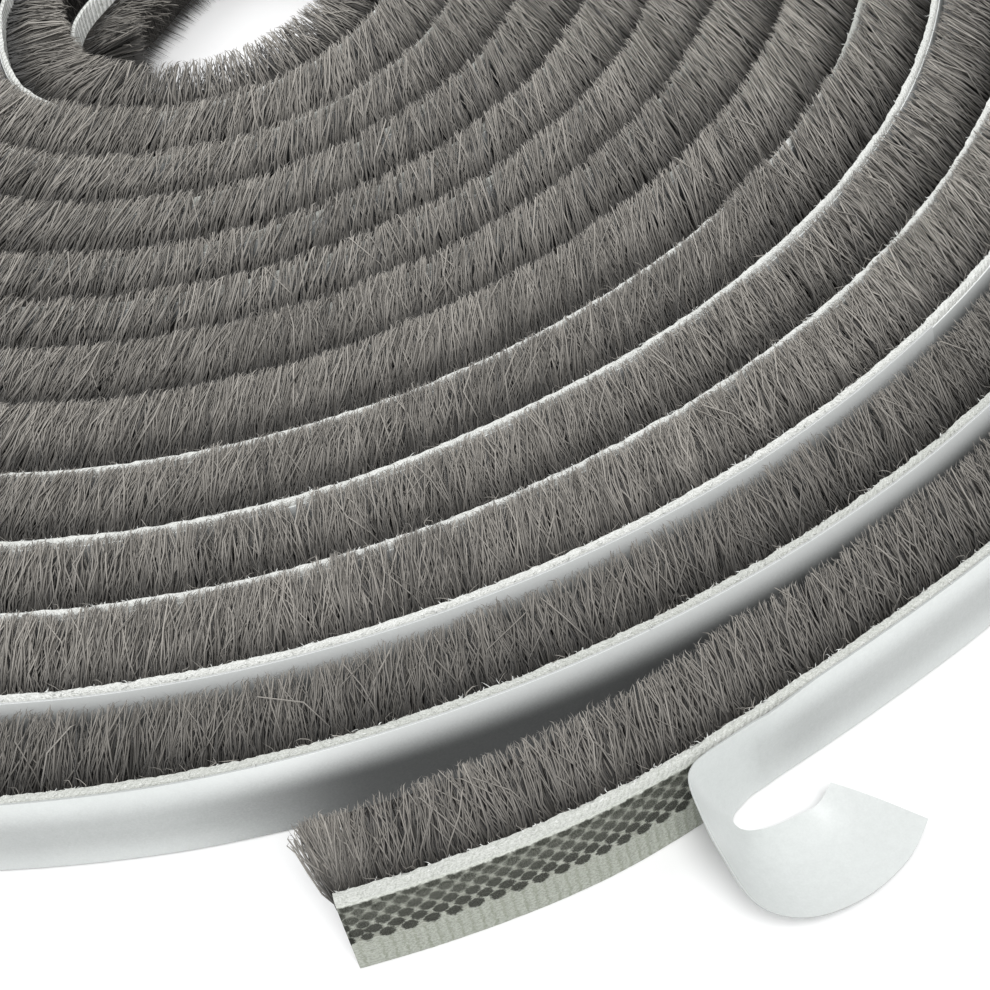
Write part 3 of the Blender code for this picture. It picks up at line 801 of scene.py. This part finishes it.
def fibre_points(s, rows, chances, at_t, seed, cheap=False):
    """Root-to-tip points of pile fibres whose tips belong at arc lengths s. rows are the tuft rows they stand in."""
    r = np.random.default_rng(seed)
    m = len(s)
    row = r.choice(rows, m, p=chances)
    up = row / 4.0
    cell = 0.86
    shift = 0.37 * row
    ident = np.floor(s / cell + shift)
    centre = (ident + 0.5 + 0.6 * (hashed(ident, row) - 0.5) - shift) * cell
    s0 = centre + (s - centre) * 0.46 + r.normal(0, 0.07, m)
    s0 = np.clip(s0, 0.05, S_END - 0.05)
    n0 = n_of_s(s0)
    room = gap_at(n0)
    hole = 1.0 - smoothstep(n0, 1.45, 1.75)          # the innermost turn's pile hangs free
    sway = (0.75 * smooth_noise(s, 9.0, 41) + 0.80 * smooth_noise(s, 3.4, 42) + 0.5 * smooth_noise(s, 31.0, 43)
            + 0.40 * smooth_noise(s + 40.0 * row, 1.25, 54))
    tip = centre + (s - centre) * 0.72 + 0.62 * sway + 1.0 * (hashed(ident, row + 9.0) - 0.5)
    tip = tip + r.normal(0, 1, m) * (1.45 - 0.45 * smoothstep(n0, 9.0, 9.6)) * (0.6 if cheap else 1.0)
    stray = r.random(m) < (0.0 if cheap else 0.045) + 0.04 * (n0 > 8.4) * (not cheap)
    tip = np.where(stray, s + r.normal(0, 2.5, m), tip)
    ripple = 0.17 * smooth_noise(s, 2.2, 45) + 0.15 * smooth_noise(s, 7.0, 46) + 0.12 * smooth_noise(s, 0.9, 50)
    reach = PILE_LEN - 0.78 + r.normal(0, 0.22, m) + ripple + 1.15 * hole + 0.9 * smoothstep(n0, 1.0, 1.12) * hole
    reach = reach - 0.5 * (up < 0.8) * r.random(m) - 0.75 * np.exp(-(S_END - s0) / 8.0)
    past = beyond(n0) + 0.28 * smooth_noise(s, 2.0, 51) + 0.22 * smooth_noise(s, 0.8, 52) + r.normal(0, 0.17, m)
    second = smoothstep(n0, 1.80, 1.90) - smoothstep(n0, 2.60, 2.70)      # the second turn's tips reach over the first one's edge
    cramped = (room < PILE_LEN + 0.1 + 1.1 * second) & (n0 < 11.5)
    ride = cramped & (up > 0.7) & (past > -0.05)
    reach = np.where(ride, np.minimum(room + past, 9.9 + 0.4 * second), reach)
    reach = np.where(cramped & ~ride, np.minimum(reach, room - 0.12), reach)
    reach = np.minimum(reach, np.where(n0 < 1.0, 0.70, 0.80) * radius(n0))
    reach = np.where(stray & ~cramped, reach * r.uniform(0.78, 1.04, m), reach)
    z0 = ROW_LOW + ROW_PITCH * row + r.normal(0, 0.16, m)
    low = 1.0 - smoothstep(n0, 0.50, 0.70)           # the first stretch's pile sits low
    z1 = 5.35 + (z0 - 5.35) * 2.75 + 0.45 * smoothstep(n0, 12.88, 12.93) * up - 1.9 * low + r.normal(0, 0.28, m) + (0.24 * smooth_noise(s, 1.7, 47) + 0.22 * smooth_noise(s, 5.0, 48)) * up
    z1 = np.where(stray, np.maximum(z1, 9.0) + r.uniform(-0.3, 0.6, m), z1)
    z1 = np.clip(z1, 0.25, 10.35)
    z1 = np.where(ride, 9.30 + 0.55 * (row == 4) * r.random(m) + np.abs(r.normal(0, 0.20, m)) + 0.18 * smooth_noise(s, 1.4, 53), z1)
    z0 = z0 - 1.3 * low * up
    end = np.exp(-(S_END - s0) / 1.7)
    tip = tip + end * (1.0 + 1.9 * r.random(m)) * (0.10 + 0.90 * up ** 1.6)
    tip = np.clip(tip, -1.5, S_END + 0.9 + 2.0 * up ** 1.6 - (0.3 + 0.9 * up) * r.random(m))
    trail = swept_back(n0) * smoothstep(s0, 0.5, 7.0) * reach
    p0, t0, in0 = spiral(n0)
    tt = np.asarray(at_t, float)[None, :]
    # the tips' own spacing shrinks towards the middle of the coil
    side = (tip - s0) * (1.0 - 0.55 * np.clip(reach / radius(n0), 0, 1)) - trail
    crimp = 1.0 if len(at_t) > 3 else 0.6
    loose = np.where((tt > 0.05) & (tt < 0.97), crimp, 0.0)
    wob = crimp * (r.normal(0, 0.46, m)[:, None] * np.sin(math.pi * tt) + r.normal(0, 0.26, m)[:, None] * np.sin(2 * math.pi * tt))
    wob = wob + r.normal(0, 0.22, (m, len(at_t))) * loose
    wob = wob * (1 - 0.3 * end)[:, None]
    wob = np.where((stray & (end < 0.2))[:, None], wob + r.normal(0, 0.85, m)[:, None] * np.sin(math.pi * tt), wob)
    wob_z = crimp * (r.normal(0, 0.24, m)[:, None] * np.sin(math.pi * tt) + r.normal(0, 0.14, m)[:, None] * np.sin(2 * math.pi * tt))
    wob_z = wob_z + r.normal(0, 0.13, (m, len(at_t))) * loose
    side = side[:, None] * tt ** 1.05 + wob
    deep = np.sqrt(np.maximum(reach ** 2 - 0.5 * np.minimum((tip - s0) ** 2, 9.0), 1.0))
    deep = np.where(ride, reach, deep)[:, None] * tt
    z = z0[:, None] + (z1 - z0)[:, None] * np.where(up[:, None] > 0.7, 1 - (1 - tt) ** 1.45, tt) + wob_z
    at_edge = np.clip((room - 0.2) / np.maximum(reach, 1e-6), 0.3, 1.0)[:, None]
    bridge = z0[:, None] + (9.06 - z0)[:, None] * np.clip(tt / at_edge, 0, 1) ** 0.75
    z = np.where(ride[:, None], np.maximum(z, np.minimum(bridge, 9.1)), z)
    z = np.clip(z, 0.12, 10.5)
    xy = (p0 - in0 * (lean(n0) * (1 - z0 / STRIP_W))[:, None])[:, None, :] + in0[:, None, :] * (deep - 0.04)[..., None] + t0[:, None, :] * side[..., None]
    pts = np.concatenate([xy, z[..., None]], -1)
    tone = np.clip(0.5 + 0.27 * r.normal(0, 1, m) + 0.17 * (hashed(ident, row + 3.0) - 0.5) * 2 + 0.12 * smooth_noise(s, 14.0, 49) + 0.12 * stray, 0, 1)
    # The random tone is the fibres' own. The factors by turn and by side of the coil are painted light and shade:
    # darker in the first stretch, over turns 8.5 to 10.6 and past 11.15, lighter past 12.3 and on each turn's far side
    # between turns 1.5 and 11.3.
    tone = tone * (1 - 0.45 * low) * (1 - 0.10 * smoothstep(n0, 8.5, 8.8) * (1 - smoothstep(n0, 10.3, 10.6)) - 0.42 * smoothstep(n0, 11.15, 11.6) + 0.12 * smoothstep(n0, 12.3, 12.8)) * (1 + (0.03 + 0.17 * (1 - np.cos(2 * math.pi * n0)) + 0.09 * (1 - smoothstep(n0, 3.4, 3.7)) + 0.08 * smoothstep(n0, 7.5, 7.8) * (1 - smoothstep(n0, 8.35, 8.5)))
                                                 * smoothstep(n0, 1.5, 2.1) * (1 - smoothstep(n0, 11.0, 11.3)))
    return pts, tone


def sample_s(per_mm, mask, seed):
    """Arc lengths with a given density where mask holds."""
    r = np.random.default_rng(seed)
    w = np.where(mask, per_mm, 0.0)
    ds = np.diff(S_TAB, prepend=0.0)
    cum = np.cumsum(w * ds)
    m = int(cum[-1])
    if m == 0:
        return np.zeros(0)
    u = (np.arange(m) + r.random(m)) / m * cum[-1]
    return np.interp(u, cum, S_TAB)


TRIS = {}
HIGH, HIGH_P = (3, 4), (0.36, 0.64)
FILL, FILL_P = (2, 3, 4), (0.25, 0.40, 0.35)
ALL, ALL_P = (0, 1, 2, 3, 4), (0.2,) * 5
LOW, LOW_P = (0, 1), (0.65, 0.35)


def make_pile():
    free = (N_TAB > 12.0) | (N_TAB < 1.30)
    fine, mid, far = NEAR, SEEN & ~NEAR, ~SEEN
    outer_near = fine & (N_TAB >= 10.4)
    inner_near = fine & (N_TAB < 10.4)
    five, four, three = (0.0, 0.28, 0.62, 0.95, 1.0), (0.0, 0.42, 0.94, 1.0), (0.0, 0.55, 1.0)
    plans = [
        # name, where, per mm, points, rows, their shares, width, taper
        ("pile_fibres_outer", outer_near, 22.3, five, HIGH, HIGH_P, 0.137, (1, 1, 0.95, 0.75)),
        ("pile_fibres_inner", inner_near, 21.3, five, HIGH, HIGH_P, 0.142, (1, 1, 0.95, 0.75)),
        ("pile_fibres_middle", mid, 11.3, four, HIGH, HIGH_P, 0.172, (1, 0.95, 0.75)),
        ("pile_fibres_back", far & (N_TAB > 7.0), 3.0, three, HIGH, HIGH_P, 0.50, (1, 0.90)),
        ("pile_fibres_heart", far & (N_TAB <= 7.0), 3.0, three, HIGH, HIGH_P, 0.50, (1, 0.90)),
        ("pile_fill_near", fine, 13.0, (0.0, 1.0), FILL, FILL_P, 0.27, (1,)),
        ("pile_fill_far", mid, 3.0, (0.0, 1.0), FILL, FILL_P, 0.52, (1,)),
        ("pile_fill_round", far, 2.6, (0.0, 1.0), FILL, FILL_P, 0.66, (1,)),
        ("pile_fill_free", free, 8.0, (0.0, 1.0), ALL, ALL_P, 0.34, (1,)),
        ("pile_fibres_under", N_TAB > 0, 1.0, (0.0, 1.0), LOW, LOW_P, 0.60, (1,)),
    ]
    for q, (name, mask, per_mm, at_t, rows, chances, width, taper) in enumerate(plans):
        s = sample_s(per_mm, mask, 100 + q)
        if name == "pile_fill_free":
            g = np.random.default_rng(5)
            s = np.concatenate([s, S_END - np.abs(g.normal(0, 0.45, 200)), np.abs(g.normal(0, 0.5, 300)), S_END - g.uniform(0, 95, 1900),
                                s_of_n(g.uniform(0.74, 1.32, 2600))])
        if name == "pile_fibres_outer":
            s = np.concatenate([s, S_END - np.abs(np.random.default_rng(7).normal(0, 1.3, 330))])
        s = np.clip(s, 0.06, S_END - 0.06)
        pts, tone = fibre_points(s, rows, chances, at_t, 200 + q, cheap=len(at_t) == 2)
        w = width * np.clip(1 + 0.22 * rng.normal(0, 1, len(s)), 0.5, 1.7)
        v1 = 1.0
        n = n_of_s(s)
        facing = 0.5 + 0.5 * np.cos(2 * math.pi * (n - 0.04))          # 1 at the camera's side of each turn
        # painted shade: a power above 1 gives more of each fibre the dark root colour, most on the camera's side of
        # turns 2.2 to 9.3 and over turns 8.6 to 10.6 and 11.2 to 12.55
        power = 1.0 + 0.52 * smoothstep(n, 2.2, 2.8) * (1 - smoothstep(n, 8.6, 9.3)) * facing ** 2
        power = power + 0.30 * (smoothstep(n, 8.6, 9.3) * (1 - smoothstep(n, 10.35, 10.6)) + smoothstep(n, 11.2, 11.5) * (1 - smoothstep(n, 12.35, 12.55)))
        # fill strands sit deep in the pile: a lower tone and no light tip colour, painted shade
        if name == "pile_fill_round":
            tone = tone * 0.85
            v1 = 0.78
        elif len(at_t) == 2:
            tone = tone * 0.55
            v1 = 0.34
        ob = strands(name, pts, w, tone, taper, FIBRE, 0.0, v1, at_t, power)
        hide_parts("pile", "wound_coil")


def make_fuzz():
    """Short white loops and ends standing from the woven edges."""
    mask = SEEN & (N_TAB > 7.6)
    s = np.concatenate([sample_s(6.0, mask & NEAR, 401), sample_s(2.4, mask & ~NEAR, 402), sample_s(0.25, ~mask, 404)])
    m = len(s)
    r = np.random.default_rng(403)
    n = n_of_s(np.clip(s, 0.1, S_END - 0.1))
    p, t, inward = spiral(n)
    pile_side = r.random(m) < 0.62
    o0 = np.where(pile_side, r.uniform(-0.05, 0.15, m), r.uniform(0.15, 0.62, m))
    z0 = np.where(pile_side, r.uniform(8.5, 8.97, m), 8.95)
    ln = np.abs(r.normal(0.30, 0.14, m)) + 0.12
    ln = np.where(r.random(m) < 0.03, ln + r.uniform(0.2, 0.6, m), ln)
    az = r.uniform(0, 2 * math.pi, m)
    el = np.where(pile_side, r.normal(0.1, 0.35, m), np.abs(r.normal(0.1, 0.25, m)))
    root = np.concatenate([p - inward * (o0 + 0.02)[:, None], z0[:, None]], 1)
    d = np.concatenate([t * np.cos(az)[:, None] * 1.5 + inward * (np.sin(az) * 0.8 + np.where(pile_side, 0.35, 0.0))[:, None],
                        np.tan(np.clip(el, -0.6, 0.9))[:, None]], 1)
    d /= np.linalg.norm(d, axis=1, keepdims=True)
    mid = root + d * (ln * 0.55)[:, None]
    d2 = d + r.normal(0, 0.8, (m, 3))
    d2 /= np.linalg.norm(d2, axis=1, keepdims=True)
    tip = mid + d2 * (ln * 0.45)[:, None]
    pts = np.stack([root, mid, tip], 1)
    pts[..., 2] = np.minimum(pts[..., 2], 9.55)
    ob = strands("fuzz_on_edges", pts, np.clip(r.normal(0.10, 0.025, m), 0.05, 0.16), r.random(m), (1.0, 0.8), FUZZ)
    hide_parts("backing", "wound_coil")


def make_curls():
    """Loose pile ends that curl over the woven edge."""
    s = sample_s(1.5, NEAR & (N_TAB > 7.8), 501)
    r = np.random.default_rng(502)
    m = len(s)
    p, t, inward = spiral(n_of_s(s))
    o = r.uniform(-0.25, 0.05, m)
    z = r.uniform(7.3, 8.7, m)
    ln = r.uniform(0.7, 2.0, m)
    az = r.uniform(0, 2 * math.pi, m)
    turn = r.uniform(-2.2, 2.2, m)
    pts = [np.concatenate([p - inward * o[:, None], z[:, None]], 1)]
    rise = r.uniform(0.2, 0.8, m)
    for i in range(3):
        d = np.concatenate([t * np.cos(az)[:, None] + inward * (np.abs(np.sin(az)) * 0.9 - 0.25)[:, None], (rise * (0.8 - 0.5 * i))[:, None]], 1)
        d /= np.linalg.norm(d, axis=1, keepdims=True)
        pts.append(pts[-1] + d * (ln / 3)[:, None])
        az = az + turn * 0.6
    pts = np.stack(pts, 1)
    pts[:, -1, 2] = np.maximum(pts[:, -1, 2], 9.02)
    pts[..., 2] = np.minimum(pts[..., 2], 9.6)
    ob = strands("pile_curls", pts, np.clip(r.normal(0.085, 0.02, m), 0.05, 0.13), r.random(m), (1.0, 1.0, 0.8), FIBRE, 0.25, 0.8)
    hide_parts("pile", "wound_coil")


make_backing()
make_liner()
make_tape()
make_core()
make_pile()
make_fuzz()
make_curls()

# ------------------------------------------------------------------ floor, light, camera
bpy.ops.mesh.primitive_plane_add(size=6.0, location=(0, 0, -0.00005))
floor = bpy.context.object
floor.name = "floor"
floor.data.materials.append(floor_material())


def area(name, at, aim, size, power, color=(1, 1, 1)):
    d = bpy.data.lights.new(name, "AREA")
    d.shape = "DISK"
    d.size = size
    d.energy = power
    d.color = color
    ob = bpy.data.objects.new(name, d)
    bpy.context.scene.collection.objects.link(ob)
    ob.location = at
    z = (np.array(at) - np.array(aim)).astype(float)
    z /= np.linalg.norm(z)
    x = np.cross((0, 0, 1), z) if abs(z[2]) < 0.99 else np.array((1.0, 0, 0))
    x /= np.linalg.norm(x)
    y = np.cross(z, x)
    ob.rotation_euler = Matrix(((x[0], y[0], z[0]), (x[1], y[1], z[1]), (x[2], y[2], z[2]))).to_euler()
    return ob


area("key", (0.10, -0.75, 1.30), (0, 0, 0), 0.9, 16.0)
area("back_fill", (-0.55, 0.50, 0.95), (0, 0, 0), 1.0, 3.5)

world = bpy.data.worlds.new("studio")
bpy.context.scene.world = world
world.use_nodes = True
bg = world.node_tree.nodes["Background"]
bg.inputs[0].default_value = (0.985, 0.992, 1.0, 1.0)
bg.inputs[1].default_value = 0.58

cam_data = bpy.data.cameras.new("camera")
cam_data.lens = CAM_LENS
cam_data.sensor_width = 36.0
cam_data.clip_start = 0.005
cam_data.clip_end = 20.0
cam = bpy.data.objects.new("camera", cam_data)
bpy.context.scene.collection.objects.link(cam)
at = (CAM_AT + np.array((AXIS_X, AXIS_Y, 0.0))) * 0.001
m = Matrix.Identity(4)
for i in range(3):
    m[i][0], m[i][1], m[i][2], m[i][3] = CAM_RIGHT[i], CAM_UP[i], -CAM_AHEAD[i], at[i]
cam.matrix_world = m
bpy.context.scene.camera = cam
bpy.context.scene.view_settings.view_transform = "Standard"
bpy.context.scene.view_settings.look = "None"
bpy.context.scene.view_settings.exposure = 0.0

counts = {}
for ob in bpy.context.scene.objects:
    if ob.type == "MESH" and ob.name != "floor":
        counts[ob.name] = sum(len(q.vertices) - 2 for q in ob.data.polygons)
counts["all"] = sum(counts.values())
